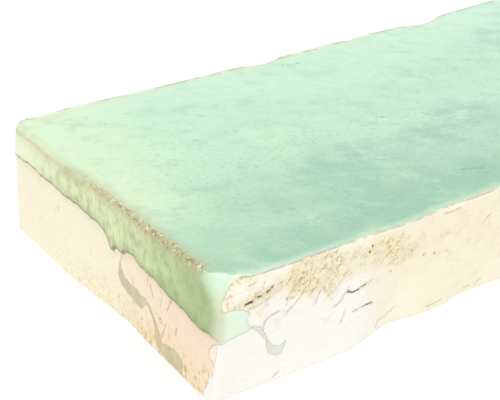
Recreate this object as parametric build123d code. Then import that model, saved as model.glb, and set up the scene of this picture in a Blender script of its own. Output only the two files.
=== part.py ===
"""Hand-cut zellige tile: a fired clay slab with a wavy glazed face and a coat of glaze run down one end.

Millimetres. +X runs along the tile, +Z out of the glazed face, and the origin is the centre of the flat back
face. The -X end is the slab's own dipped end, and the other three sides are hammered to size after firing, so
they lean in towards the back.
"""

import os
from math import cos, exp, pi, radians, sin, tanh

from build123d import *

# Overall size, to the edges of the glazed face
LENGTH = 150.0
WIDTH = 50.0
THICKNESS = 16.0

# How each side strays from straight: place along it, how far it stands out at the face, how far in at the back
FRONT_SIDE = (
    (-70.0, -0.2, 0.9), (-65.0, -0.2, 0.6), (-60.0, -0.15, 0.5), (-54.0, -0.05, 0.6), (-50.5, 0.25, 1.6),
    (-47.5, 0.4, 2.2), (-43.0, 0.1, 1.5), (-39.5, 0.25, 1.5), (-35.0, 0.35, 2.1), (-30.0, 0.2, 2.0),
    (-23.0, -0.1, 1.2), (-14.0, -0.15, 0.8), (-5.0, 0.2, 1.4), (6.0, 0.35, 1.0), (17.0, -0.1, 1.7),
    (28.0, -0.25, 1.0), (39.0, 0.2, 0.7), (50.0, 0.3, 1.4), (60.0, -0.1, 0.9), (69.0, -0.15, 1.1),
)
CUT_END = ((-17.0, 0.25, 1.2), (-8.0, -0.2, 0.9), (0.0, 0.2, 1.4), (9.0, 0.3, 1.0), (17.0, -0.15, 1.3))
BACK_SIDE = (
    (70.0, 0.1, 0.9), (60.0, 0.35, 1.0), (48.0, 0.0, 0.5), (36.0, 0.1, 0.8), (24.0, 0.6, 1.1), (13.0, 0.8, 0.9),
    (6.0, 0.45, 0.7), (-2.0, 0.0, 0.8), (-10.0, 0.05, 1.0), (-19.0, 0.05, 0.8), (-26.0, -0.1, 0.6),
    (-34.0, -0.05, 0.7), (-42.0, 0.15, 0.9), (-50.0, 0.4, 0.7), (-59.0, 0.75, 0.4), (-66.0, 1.05, 0.3),
    (-71.0, 0.9, 0.0),
)
DIPPED_END = (
    (19.0, 0.05, -0.95), (14.0, 0.1, -1.1), (10.0, 0.05, -1.2), (5.0, -0.05, -0.9), (0.0, 0.05, -0.6),
    (-4.0, 0.1, -0.45), (-9.0, 0.05, -0.75), (-14.0, 0.0, -0.98), (-20.0, -0.05, -1.22),
)

# Plan radii of the corners in the order that the outline meets them: at the face, then at the back
FACE_CORNERS = (1.2, 1.2, 0.8, 2.6)
BACK_CORNERS = (0.9, 0.9, 0.8, 1.5)

# Swell of the glazed face: two slow waves, and a sag of the dipped arris
SWELL = 0.3
SWELL_WAVELENGTH_X = 68.0
SWELL_WAVELENGTH_Y = 58.0
SWELL_PHASE_X = radians(40.0)
SWELL_PHASE_Y = radians(-60.0)
SAG = 0.55
SAG_PLACE = 14.0
SAG_SPREAD = 9.0
SWELL_POINT_SPACING = 5.0

# Rounding of the glazed arris and of the back edge
ARRIS_RADIUS = 0.5
BACK_EDGE_RADIUS = 0.25

# Coat of glaze on the dipped end: its thickness, and the lower edge that it runs down to
GLAZE_COAT = 0.4
APRON_DROP = 5.95
APRON_FALL = 1.3
APRON_TURN = -6.0
APRON_STRETCH = 11.0
BEAD_PLACE = -1.0
BEAD_DROP = 1.75
BEAD_SPREAD = 1.3

# Scoops struck from the edges: radius of the scoop, then place along the tile and depth of each
SCOOP_RADIUS = 9.0
BACK_ARRIS_SCOOPS = ((-32.0, 0.9), (-1.5, 1.2), (41.0, 0.6))
FRONT_ARRIS_SCOOPS = ((-41.0, 0.5), (22.0, 0.6))
FRONT_HEEL_SCOOPS = ((-36.0, 0.7), (37.0, 0.9))
BACK_HEEL_SCOOPS = ((-12.0, 0.9), (58.0, 0.8))
SCOOP_LEAN = radians(35.0)

# Room for the cutting tools to pass clear of the tile, and how far behind the dipped end they reach
MARGIN = 3.0
TOOL_REACH = 12.0


def stray(rows, height, half_run):
    """One side at one height as (place along it, distance out), with the places that its run has room for."""
    level = height / THICKNESS
    room = half_run - max(FACE_CORNERS) - 1
    return [(place, (out + inset) * level - inset) for place, out, inset in rows if abs(place) < room]


def outline(height):
    """Closed plan outline at one height: four straying sides joined by tangent corner arcs."""
    half_x, half_y = LENGTH / 2, WIDTH / 2
    level = height / THICKNESS
    radii = [back + (face - back) * level for face, back in zip(FACE_CORNERS, BACK_CORNERS)]
    sides = (
        # the side's stray, its outward direction and its direction of travel
        (stray(FRONT_SIDE, height, half_x), Vector(0, -1), Vector(1, 0)),
        (stray(CUT_END, height, half_y), Vector(1, 0), Vector(0, 1)),
        (stray(BACK_SIDE, height, half_x), Vector(0, 1), Vector(-1, 0)),
        (stray(DIPPED_END, height, half_y), Vector(-1, 0), Vector(0, -1)),
    )
    centre_to_side = (half_y, half_x, half_y, half_x)
    splines = []
    for index, (line, outward, travel) in enumerate(sides):
        before, after = (index - 1) % 4, (index + 1) % 4
        axis = Vector(abs(travel.X), abs(travel.Y))
        to_start = centre_to_side[before] + sides[before][0][-1][1] - radii[before]
        to_end = centre_to_side[after] + sides[after][0][0][1] - radii[index]
        run = [(-travel * to_start, line[0][1])]
        run += [(axis * place, out) for place, out in line]
        run += [(travel * to_end, line[-1][1])]
        points = [along + outward * (centre_to_side[index] + out) for along, out in run]
        splines.append(Spline(*points, tangents=(travel, travel)))
    edges = []
    for index, spline in enumerate(splines):
        edges += [spline, RadiusArc(spline @ 1, splines[(index + 1) % 4] @ 0, -radii[index])]
    return Pos(0, 0, height) * make_face(edges)


def slab():
    """The clay slab, lofted from its back outline to the outline of the glazed face and on past it."""
    return loft([outline(0), outline(THICKNESS + MARGIN)], ruled=True)


def swell(x, y):
    """Height of the glazed face above its mean plane."""
    along = sin(2 * pi * x / SWELL_WAVELENGTH_X + SWELL_PHASE_X)
    across = cos(2 * pi * y / SWELL_WAVELENGTH_Y + SWELL_PHASE_Y)
    from_sag = (x + LENGTH / 2) ** 2 + (y - SAG_PLACE) ** 2
    return SWELL * along * across - SAG * exp(-from_sag / SAG_SPREAD**2)


def above_the_face():
    """Everything above the wavy glazed face, as one block to cut away."""
    half_x, half_y = LENGTH / 2 + MARGIN, WIDTH / 2 + MARGIN
    count_x = round(2 * half_x / SWELL_POINT_SPACING)
    count_y = round(2 * half_y / SWELL_POINT_SPACING)
    grid = []
    for column in range(count_x + 1):
        x = half_x * (2 * column / count_x - 1)
        ys = [half_y * (2 * row / count_y - 1) for row in range(count_y + 1)]
        grid.append([Vector(x, y, THICKNESS + swell(x, y)) for y in ys])
    face = Face.make_surface_from_array_of_points(grid)
    return extrude(face, amount=2 * MARGIN, dir=(0, 0, 1))


def bare_end(height):
    """Plan, at one height, of the clay behind the glaze of the dipped end, wider than the tile."""
    reach = WIDTH / 2 + 2 * MARGIN
    line = stray(DIPPED_END, height, WIDTH / 2)
    line = [(reach, line[0][1])] + line + [(-reach, line[-1][1])]
    face_x = GLAZE_COAT - LENGTH / 2
    points = [(face_x - out, place) for place, out in line]
    far_x = face_x + 2 * TOOL_REACH
    rest = Polyline(points[-1], (far_x, -reach), (far_x, reach), points[0])
    towards_front = Vector(0, -1)
    end = Spline(*points, tangents=(towards_front, towards_front))
    return Pos(0, 0, height) * make_face([end, rest])


def apron_height(y):
    """Height of the glaze's lower edge: a slow fall from back to front, and one bead hanging from it."""
    fall = APRON_FALL * tanh((y - APRON_TURN) / APRON_STRETCH)
    bead = BEAD_DROP * exp(-(((y - BEAD_PLACE) / BEAD_SPREAD) ** 2))
    return THICKNESS - APRON_DROP + fall - bead


def bare_end_recess():
    """The thin slice of the dipped end that the glaze never reached, below its run-down edge."""
    reach = WIDTH / 2 + MARGIN
    bead_steps = [BEAD_PLACE + BEAD_SPREAD * step for step in (2.4, 1.2, 0, -1.2, -2.4)]
    slow_steps = [reach * step for step in (1, 0.8, 0.6, 0.4, 0.22)]
    places = slow_steps + bead_steps + [-place for place in reversed(slow_steps)]
    line = [(place, apron_height(place)) for place in places]
    rest = Polyline(line[-1], (-reach, -MARGIN), (reach, -MARGIN), line[0])
    outside = Plane(origin=(-LENGTH / 2 - TOOL_REACH, 0, 0), x_dir=(0, 1, 0), z_dir=(1, 0, 0))
    below_line = extrude(outside * make_face([Spline(*line), rest]), amount=2 * TOOL_REACH)
    return below_line - loft([bare_end(-2 * MARGIN), bare_end(THICKNESS)], ruled=True)


def scoops():
    """Shell-shaped bites struck from the long edges, at the glazed face and at the back face."""
    rows = (
        # bites, the edge's z, and the way out of the edge in y and z
        (BACK_ARRIS_SCOOPS, THICKNESS, 1, 1),
        (FRONT_ARRIS_SCOOPS, THICKNESS, -1, 1),
        (BACK_HEEL_SCOOPS, 0, 1, -1),
        (FRONT_HEEL_SCOOPS, 0, -1, -1),
    )
    bites = []
    for places, edge_z, out_y, out_z in rows:
        side = BACK_SIDE if out_y > 0 else FRONT_SIDE
        for x, depth in places:
            nearest = min(side, key=lambda row: abs(row[0] - x))
            edge_y = WIDTH / 2 + (nearest[1] if out_z > 0 else -nearest[2])
            stand_off = SCOOP_RADIUS - depth
            y = out_y * (edge_y + stand_off * cos(SCOOP_LEAN))
            z = edge_z + out_z * stand_off * sin(SCOOP_LEAN)
            bites.append(Pos(x, y, z) * Sphere(SCOOP_RADIUS))
    return bites


def tile():
    """The whole tile as one fired piece."""
    body = slab() - above_the_face()
    body = fillet(body.faces().sort_by(Axis.Z)[-1].edges(), ARRIS_RADIUS)
    body = fillet(body.faces().sort_by(Axis.Z)[0].edges(), BACK_EDGE_RADIUS)
    body = body - bare_end_recess()
    return body - scoops()


os.makedirs("parts", exist_ok=True)
export_step(tile(), "parts/tile.step")
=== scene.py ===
"""Looks of a hand-cut zellige tile: a pale clay slab under a mint glaze that has run down one end.

Metres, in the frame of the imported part: +X along the tile, +Z out of the glazed face, origin at the centre of
the back. The -X end was dipped, so glaze hangs down it like an apron. The other three sides were hammered to
size after firing and show bare clay.
"""

import math

import bpy
import numpy as np
from bpy.props import FloatProperty, FloatVectorProperty, PointerProperty
from bpy.types import Operator, Panel, PropertyGroup
from mathutils import Matrix, Vector


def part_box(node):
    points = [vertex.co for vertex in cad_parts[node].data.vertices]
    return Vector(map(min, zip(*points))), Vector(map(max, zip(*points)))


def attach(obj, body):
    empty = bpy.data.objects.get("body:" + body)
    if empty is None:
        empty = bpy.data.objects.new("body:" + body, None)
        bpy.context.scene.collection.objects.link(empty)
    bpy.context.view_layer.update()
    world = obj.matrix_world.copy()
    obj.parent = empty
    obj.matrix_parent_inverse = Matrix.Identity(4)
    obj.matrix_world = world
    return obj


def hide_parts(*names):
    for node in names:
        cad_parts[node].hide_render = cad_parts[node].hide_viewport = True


bl_info = {
    "name": "Zellige tile",
    "version": (1, 0, 0),
    "blender": (4, 5, 0),
    "location": "View3D > Sidebar > Tile",
    "description": "Builds a hand-cut zellige tile with a run glaze, and a plain stage for it",
    "category": "Add Mesh",
}

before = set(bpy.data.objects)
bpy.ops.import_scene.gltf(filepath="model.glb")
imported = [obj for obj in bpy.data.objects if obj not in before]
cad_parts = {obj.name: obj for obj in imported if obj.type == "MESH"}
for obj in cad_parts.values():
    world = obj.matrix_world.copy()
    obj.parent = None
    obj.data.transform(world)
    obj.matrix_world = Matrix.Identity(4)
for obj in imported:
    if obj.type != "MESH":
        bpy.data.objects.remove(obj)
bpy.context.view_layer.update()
MM = 0.001

# The maker's sizes are whole millimetres from the centre of the back. The box also holds the sides' stray.
TILE_LOW, TILE_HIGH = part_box("tile")
TILE_LENGTH = 2 * MM * math.floor(TILE_HIGH.x / MM)
TILE_WIDTH = 2 * MM * math.floor(-TILE_LOW.y / MM)
TILE_THICKNESS = MM * math.floor(TILE_HIGH.z / MM)

# Cells of the tile's surface along, across and up, and the length from the dipped end that has close lines
CELLS_ALONG, CELLS_ACROSS, CELLS_UP = 240, 120, 56
DETAILED_LENGTH = 46 * MM

# How many times closer still lines lie over that length, by the ends, by the long sides, by the apron's edge,
# by the back and by the face, and how far the last five reach
CLOSER_DETAIL, CLOSER_ENDS, CLOSER_SIDES, CLOSER_APRON, CLOSER_BACK, CLOSER_FACE = 2.5, 5, 4, 1.5, 2, 3
SIDE_REACH, APRON_REACH, FACE_REACH = 0.8 * MM, MM, 0.5 * MM

# How far along the sides the lines follow the apron's edge, and the arrises change over to hammered ones
APRON_HOLD = 12 * MM
ARRIS_CHANGE = 4 * MM

# Closeness that counts as lying on a face of the unrounded box, and how far the distance fields reach
TOUCH = 1e-7
FIELD_REACH = 3 * MM

# How each side strays from straight: (place along it, stand-out at the face, set-in at the back)
FRONT_SIDE = np.array([
    (-70, -0.2, 0.9), (-65, -0.2, 0.6), (-60, -0.15, 0.5), (-54, -0.05, 0.6), (-50.5, 0.25, 1.6),
    (-47.5, 0.4, 2.2), (-43, 0.1, 1.5), (-39.5, 0.25, 1.5), (-35, 0.35, 2.1), (-30, 0.2, 2), (-23, -0.1, 1.2),
    (-14, -0.15, 0.8), (-5, 0.2, 1.4), (6, 0.35, 1), (17, -0.1, 1.7), (28, -0.25, 1), (39, 0.2, 0.7),
    (50, 0.3, 1.4), (60, -0.1, 0.9), (69, -0.15, 1.1),
]) * MM
BACK_SIDE = np.array([
    (-71, 0.9, 0), (-66, 1.05, 0.3), (-59, 0.75, 0.4), (-50, 0.4, 0.7), (-42, 0.15, 0.9), (-34, -0.05, 0.7),
    (-26, -0.1, 0.6), (-19, 0.05, 0.8), (-10, 0.05, 1), (-2, 0, 0.8), (6, 0.45, 0.7), (13, 0.8, 0.9),
    (24, 0.6, 1.1), (36, 0.1, 0.8), (48, 0, 0.5), (60, 0.35, 1), (70, 0.1, 0.9),
]) * MM
DIPPED_END = np.array([
    (-20, -0.05, -1.22), (-14, 0, -0.98), (-9, 0.05, -0.75), (-4, 0.1, -0.45), (0, 0.05, -0.6),
    (5, -0.05, -0.9), (10, 0.05, -1.2), (14, 0.1, -1.1), (19, 0.05, -0.95),
]) * MM
CUT_END = np.array([(-17, 0.25, 1.2), (-8, -0.2, 0.9), (0, 0.2, 1.4), (9, 0.3, 1), (17, -0.15, 1.3)]) * MM

# Swell of the glazed face: two slow waves, and a sag of the dipped arris. It fades below the face as a power
# of the height.
SWELL_LENGTHS = np.array([68, 58]) * MM
SWELL_PHASES = np.radians([40, -60])
SAG_PLACE = 14 * MM
SAG_SPREAD = 9 * MM
SWELL_POWER = 6

# Lower edge of the glaze on the dipped end: a slow fall from the back corner to the near one,
# ripples of (length, height) and beads of (place across, spread, drop)
APRON_MIDDLE = 10.05 * MM
APRON_FALL = 1.3 * MM
APRON_TURN = -6 * MM
APRON_STRETCH = 11 * MM
APRON_RIPPLES = np.array([(6.3, 0.1), (2.3, 0.07), (1.1, 0.04)]) * MM
BEADS = np.array([
    (-1, 2.6, 0.55), (-0.9, 1.05, 1.25), (-3.4, 0.95, 0.75), (-6, 1, -0.25), (-21, 5, 0.5),
]) * MM
LIP_WIDTH = 0.45 * MM

# Glaze wrapped round the dipped corners onto the long sides: (place along the tile, height)
UPPER_WRAP = np.array([
    (-77, 12.6), (-74.9, 12.7), (-74.5, 13.2), (-74, 14), (-73.3, 14.8), (-72.6, 15.4), (-72, 15.9),
    (-71.6, 16.6), (-77, 16.6),
]) * MM
LOWER_WRAP = np.array([
    (-77, 8.6), (-75, 8.1), (-74, 8.3), (-72.9, 8.5), (-71.7, 8.5), (-70.7, 8.7), (-71.1, 9.2), (-71.4, 10.1),
    (-71.2, 10.8), (-71.8, 11.6), (-73.1, 12), (-74.2, 12.2), (-75, 12.5), (-77, 12.6),
]) * MM
BACK_WRAP = np.array([
    (-77, 10.6), (-74.2, 11.2), (-73.1, 12.6), (-72.4, 14.4), (-72, 16.5), (-77, 16.6),
]) * MM
WRAP_COAT = 0.2 * MM

# How far inside the glaze the dipped arris counts as lying, and where the face takes that up
ARRIS_INSIDE = 2 * MM
ARRIS_SPAN = (3 * MM, 1.5 * MM)

# Runs of thin glaze as (place, height, half width): across and up the dipped end, along and up the front side
END_RUN = np.array([
    (-3.1, 9.6, 0.1), (-2.75, 8.7, 0.1), (-2.6, 8, 0.2), (-2.6, 6.9, 0.5), (-2.7, 6.1, 0.75),
    (-3.2, 5.4, 0.85), (-4.6, 5.1, 0.95), (-6.25, 4.95, 1.15), (-7.3, 4.8, 1), (-8.6, 5.5, 0.42),
    (-9.5, 5.35, 0.3), (-10.3, 4.7, 0.28), (-10.9, 4, 0.3), (-11.4, 3.2, 0.5), (-11.8, 2.5, 0.68),
    (-12.1, 1.6, 0.72), (-12.8, 1.1, 0.72), (-13.9, 1.25, 1), (-15.6, 1.4, 1.2), (-16.7, 1.4, 1.1),
    (-17.1, 0.9, 0.7),
]) * MM
FRONT_RUN = np.array([
    (-70.6, 8.9, 0.25), (-69.7, 8.2, 0.4), (-69.1, 7.3, 0.27), (-68.6, 6.3, 0.25), (-68.3, 5.4, 0.36),
    (-67.9, 4.7, 0.62), (-67, 4.3, 0.72), (-66.4, 4.6, 0.42), (-66.1, 5.2, 0.24),
]) * MM
RUN_COAT = 0.1 * MM

# Cracks: (half width, darkness, places and heights), on the front side and on the dipped end. Their ink is
# noted up to a distance, and the place across them up to a number of half widths.
FRONT_CRACKS = (
    (0.19, 0.95, ((-71.8, 12.3), (-71.2, 12.4), (-70.4, 12.6), (-68.9, 13), (-68.2, 13.4))),
    (0.1, 0.7, ((-71.3, 14.7), (-70.7, 14.8))),
    (0.1, 0.7, ((-69.5, 14), (-69.3, 14.3))),
    (0.14, 0.3, ((-71.1, 11.4), (-69.8, 11.7), (-68.5, 12))),
    (0.16, 0.45, ((-67.2, 9.8), (-68.3, 9.5), (-69, 9.1), (-69.2, 8.2))),
    (0.18, 0.3, ((-66.1, 9), (-64.7, 10.1), (-63.7, 11.1), (-63.5, 11.6))),
    (0.18, 0.3, ((-66.1, 10.4), (-65.8, 11.3), (-64.9, 12.6))),
    (0.2, 0.35, ((-61.9, 9), (-61.6, 9.8), (-61, 10.7))),
    (0.2, 0.35, ((-59.1, 7.5), (-58.1, 7.7), (-57.6, 8.7), (-57.1, 9.3))),
    (0.17, 1, ((-57, 8.8), (-56.3, 8.5), (-55.4, 8.6), (-54.1, 8.9), (-53.4, 9.1))),
    (0.16, 0.9, ((-55.7, 5.7), (-54.8, 5.8), (-53.8, 5.8), (-52.8, 5.5))),
    (0.18, 0.3, ((-57.9, 4.8), (-57.4, 6))),
    (0.18, 0.3, ((-50.9, 0.8), (-50.9, 1.7), (-49.4, 1.9), (-48, 2.5))),
    (0.1, 0.5, ((-34.9, 11.5), (-34.3, 12))),
    (0.12, 0.5, ((-42.4, 14.9), (-41.4, 14.8), (-40.2, 15.1))),
    (0.12, 0.45, ((-42.6, 0.9), (-41.5, 0.9), (-40.2, 1.1))),
    (0.12, 0.45, ((-35.7, 1), (-34.6, 0.9))),
    (0.12, 0.45, ((-33.5, 0.9), (-32.9, 1.3))),
    (0.12, 0.5, ((-67.3, 0.8), (-66.9, 1))),
)
END_CRACKS = (
    (0.1, 0.6, ((-5.5, 7.2), (-5.6, 6.3))),
    (0.1, 0.6, ((-9.1, 8.8), (-9.1, 8.1))),
    (0.11, 0.6, ((-9.8, 8.3), (-10.1, 7.6), (-10.4, 7))),
    (0.11, 0.6, ((-14.6, 8.7), (-14.1, 7.8), (-13.8, 7))),
    (0.1, 0.5, ((-12.4, 7.7), (-12.3, 6.9))),
    (0.1, 0.55, ((-13.4, 4.7), (-13, 3.5), (-12.6, 2.5))),
    (0.2, 0.6, ((-15.9, 5.5), (-15.7, 4.7))),
)
INK_REACH = 0.36 * MM
ASIDE_LIMIT = 6

# Dark specks: (place, height) on the front side and on the dipped end
FRONT_SPECKS = np.array([
    (-65.9, 11.1), (-65.4, 11), (-50.2, 9.1), (-47, 11), (-44.7, 9.6), (-43, 9.3), (-40.9, 9), (-38.3, 6.5),
    (-37.1, 9.1), (-53.8, 14), (-54.1, 13.3), (-48.2, 13.5),
]) * MM
END_SPECKS = np.array([(-12.3, 4.6), (-12.1, 4.8), (13.1, 8.7), (12.9, 8.4)]) * MM
SPECK_RADIUS = 0.23 * MM
SPECK_INK = 0.9

# Marks in the glazed face: (half width, darkness or minus paleness, places along and across). The pale marks,
# of minus paleness, are painted glints; the dark mark listed right after each of the first two is painted shade
# in the pit beside that glint. The other dark marks are flecks in the glaze.
FACE_MARKS_AND_GLINTS = (
    (0.4, -1, ((-32.6, -1.5), (-31.8, -1.7))),
    (0.3, 0.8, ((-32.3, -0.3), (-31.3, -1))),
    (0.3, -0.8, ((-40.7, -10.4), (-40.2, -10.9))),
    (0.25, 0.5, ((-40.4, -9.8), (-39.5, -10.2))),
    (0.4, 0.55, ((-51.9, 5.8), (-50.7, 5.6))),
    (0.3, 0.4, ((-69.1, 5.2), (-68.1, 4.9))),
    (0.25, 0.7, ((-51.5, -5.2), (-51.2, -5.4))),
    (0.3, 0.6, ((-28.7, -6.1), (-27.8, -6.6))),
    (0.35, 0.6, ((-27.6, -8), (-27.1, -8.2))),
    (0.35, 0.5, ((-23.9, -10.6), (-23.2, -11))),
    (0.3, 0.5, ((-30.5, -11.8), (-29.9, -12))),
    (0.25, 0.45, ((-24.4, 2.2), (-24, 1.4), (-23.6, 0.5))),
    (0.25, 0.5, ((-29.6, -2.6), (-28.4, -2.5))),
    (0.25, 0.5, ((-31.8, -3.6), (-31.2, -4.2))),
    (0.25, 0.45, ((-38.8, -3.7), (-38, -5.5))),
    (0.35, 1, ((-30.7, -19.2), (-30.2, -20))),
    (0.4, 0.7, ((-34.3, -19.3), (-33, -19.8), (-31.6, -20.4))),
    (0.4, 0.6, ((-33.2, -21.2), (-31.8, -21.9))),
    (0.4, 0.6, ((-32, 22), (-30.6, 21.6))),
    (0.4, 0.6, ((-30, 21.4), (-29, 21.1))),
    (0.3, 0.5, ((-39.6, 22.6), (-39.3, 22.5))),
    (0.3, 0.6, ((-46.8, -23), (-45.9, -23.4))),
    (0.3, 0.5, ((-63.5, -12), (-62.4, -12.6))),
    (0.3, 0.5, ((-58.2, -18.1), (-57.1, -18.6))),
    (0.35, 0.6, ((-12, -8), (-10.6, -8.7))),
    (0.35, 0.6, ((8, 11), (9.2, 10.6))),
    (0.4, -0.8, ((21.4, -4), (22.2, -4.2))),
    (0.35, 0.6, ((34, -15), (35.4, -15.3))),
    (0.35, 0.6, ((52, 6), (53.2, 5.8))),
)

# Where the glaze of the face lies thick: (place along the tile, place across, half length, half width), and
# the squared distance, in those halves, at which a pool ends
POOLED_AREAS = np.array([
    (-44.5, -9.5, 9, 5), (-43, -14, 6, 4), (-36, -20.5, 11, 3.2), (-30, -9, 5, 4), (-23, -7, 7, 4),
    (-52, -21, 12, 3), (-66, -22, 7, 2.5), (8, -13, 26, 10), (26, 10, 28, 11), (52, -9, 26, 11),
    (66, 12, 18, 12),
]) * MM
POOL_END = 1.6

# How far the near corner is flattened at the face, from a round to a facet, and the levels, as shares of the
# thickness, between which the corners of the dipped end open out
FACET_SHARE = 0.9
OPENING_LEVELS = (0.7, 1.05)

# Where the apron gives way to paler glaze round the near corner: how far past the corner its middle lies low
# down, how far it draws back towards the face, how softly it fades on the end, how much softer higher up, and
# how softly on the side. Over the arris it fades between two distances, from the near corner's facet on.
APRON_PAST_CORNER = 0.5 * MM
APRON_DRAWN_BACK = 3.3 * MM
DRAWING_HEIGHTS = (12.2 * MM, 15.8 * MM)
APRON_FADING = 2 * MM
MORE_FADING = 1.6 * MM
FADING_HEIGHTS = (11.5 * MM, 13.5 * MM)
SIDE_FADING = 0.8 * MM
OVER_ARRIS = (0.9 * MM, -0.5 * MM)
PAST_FACET = (-23 * MM, -21.5 * MM)

# A flake lost from the near corner of the dipped end: (place across, height)
CORNER_FLAKE = np.array([
    (-22.6, 6.6), (-23.3, 7.5), (-24.2, 8), (-26, 7.8), (-26, 4.9), (-24.4, 4.8), (-23.8, 4.9),
    (-23.2, 5.4), (-22.7, 5.3),
]) * MM
FLAKE_DEPTH = 0.15 * MM

# Bites struck from the long edges: (place along the tile, depth, radius)
SCOOP_LEAN = math.radians(35)
BACK_ARRIS_SCOOPS = np.array([
    (-55, 0.25, 1.5), (-44, 0.3, 1.6), (-34, 0.9, 9), (-24, 0.3, 1.6), (-16.8, 0.6, 2.5), (-1.5, 1.2, 9),
    (41, 0.6, 9),
]) * MM
FRONT_ARRIS_SCOOPS = np.array([
    (-69.4, 0.22, 1.2), (-65.2, 0.3, 1.5), (-62.3, 0.25, 1.4), (-57.2, 0.22, 1.2), (-47.6, 0.25, 1.5),
    (-41, 0.5, 9), (-40.6, 0.6, 2), (-36.4, 0.3, 1.6), (22, 0.6, 9),
]) * MM
FRONT_HEEL_SCOOPS = np.array([(-36, 0.35, 9), (37, 0.9, 9)]) * MM
BACK_HEEL_SCOOPS = np.array([(-12, 0.9, 9), (58, 0.8, 9)]) * MM

# Crumbled, ochre-stained areas of the front side: (place along the tile, height, half length, half height),
# how far each is crumbled, the squared distance, in those halves, at which it ends, and the outline of a
# crumbled band as (place along the tile, height)
CRUMBLED_AREAS = np.array([
    (-62, 13.3, 5, 3), (-56.4, 12.8, 3.4, 2.4), (-51.5, 13.2, 4.6, 2.4), (-48.6, 11.2, 3.4, 2.2),
    (-40.5, 12, 5, 1.5), (-33.5, 13.6, 4, 1.8), (-12, 12, 12, 3), (24, 11, 9, 3.5), (57, 12, 10, 3),
]) * MM
CRUMBLED_SHARES = np.array([1, 0.5, 0.55, 0.55, 0.3, 0.15, 0.4, 0.45, 0.4])
CRUMBLED_END = 1.3
CRUMBLED_BAND = np.array([
    (-73.4, 13), (-71, 13.7), (-68.3, 14.2), (-66.4, 14.2), (-64.4, 14.3), (-63.4, 14.6), (-61, 14.4),
    (-57.6, 14.3), (-53.9, 14), (-51.9, 14.2), (-49.9, 14.4), (-49, 11), (-51.3, 9.2), (-55.3, 10.4),
    (-57.2, 10.8), (-58.3, 9.5), (-59.4, 8.2), (-61.3, 10.6), (-62.1, 9.2), (-64.3, 11.6), (-66.3, 12.5),
    (-68.8, 12.1), (-71.2, 11.5),
]) * MM
BAND_SHARE = 0.7
BAND_EDGE = (-0.8 * MM, 0.9 * MM)
BAND_FADING = (-60 * MM, -55 * MM)

# Loose clay all along the front side, between the back and the face, and the share on the other sides
LOOSE_SHARE = 0.22
LOOSE_FROM_BACK = (3 * MM, 9 * MM)
LOOSE_FROM_FACE = (0.5 * MM, 1.5 * MM)
SIDE_SHARE = 0.4

# Levels of the flakes in the crumbled clay
FLAKE_LEVELS = 6.0

# Slants of the torn strokes in the crumbled clay and of the brush marks in the glazed face
STROKE_SLANT = math.radians(53)
BRUSH_SLANT = math.radians(39)

# Floor and lamp
FLOOR_REACH = 4.0
FLOOR_DROP = 0.05 * MM
LAMP_PLACE = (-0.68, -0.78, 2.05)
LAMP_SIZE = 1.2

# Random heights of the noise, and the numbers that pick one of them for a corner of its lattice
NOISE_HEIGHTS = 4096
NOISE_KEYS = (73856093, 19349663, 83492791)

# Noises of the relief, as (size, seed), and how much of the digging is pits
CHATTER_NOISE = (2.5 * MM, 11)
TORN_NOISE = (2.2 * MM, 23)
TORN_LAYERS = 4
PIT_NOISE = (5 * MM, 31)
PIT_SHARE = 0.35
RIPPLE_NOISE = (9 * MM, 41)
CRUMBLE_NOISE = (8 * MM, 5)


def srgb(red, green, blue):
    """A colour given in the 0 to 255 of a display, as the linear colour that a shader takes."""
    share = np.array([red, green, blue]) / 255
    return tuple(np.where(share <= 0.04045, share / 12.92, ((share + 0.055) / 1.055) ** 2.4))


def length(name, description, default):
    """A size property in metres."""
    return FloatProperty(name=name, description=description, default=default, unit="LENGTH", precision=5)


def colour(name, description, red, green, blue):
    """A colour property, written as it looks on a display."""
    return FloatVectorProperty(
        name=name, description=description, default=srgb(red, green, blue), subtype="COLOR", min=0, max=1
    )


class TileShape(PropertyGroup):
    """Sizes of the tile."""

    length: length("Length", "Along the tile", TILE_LENGTH)
    width: length("Width", "Across the tile", TILE_WIDTH)
    thickness: length("Thickness", "Back face to glazed face", TILE_THICKNESS)
    near_corner: length("Near corner", "Reach of the dipped end's front facet, at the face", 4.1 * MM)
    low_corner: length("Low corner", "Plan radius of the same corner, below the face", 1.1 * MM)
    far_corner: length("Far corner", "Plan radius of the dipped end's back corner, at the face", 1.8 * MM)
    hammered_corner: length("Hammered corner", "Plan radius of the other corners", 0.9 * MM)
    arris: length("Arris", "Rounding of the dipped edge of the glazed face", 0.8 * MM)
    hammered_arris: length("Hammered arris", "Rounding of the other edges of the glazed face", 0.3 * MM)
    back_edge: length("Back edge", "Rounding of the edge of the back face", 0.25 * MM)
    swell: length("Swell", "Height of the slow waves of the glazed face", 0.3 * MM)
    sag: length("Sag", "Dip of the dipped arris", 0.55 * MM)
    ripple: length("Ripple", "Height of the quick waves of the glazed face", 0.05 * MM)
    coat: length("Glaze coat", "How far the glaze stands proud of the dipped end", 0.4 * MM)
    crumble: length("Crumble", "Depth of the crumbled clay on the hammered sides", 0.3 * MM)
    chatter: length("Chatter", "Unevenness of the plain clay", 0.05 * MM)


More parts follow.
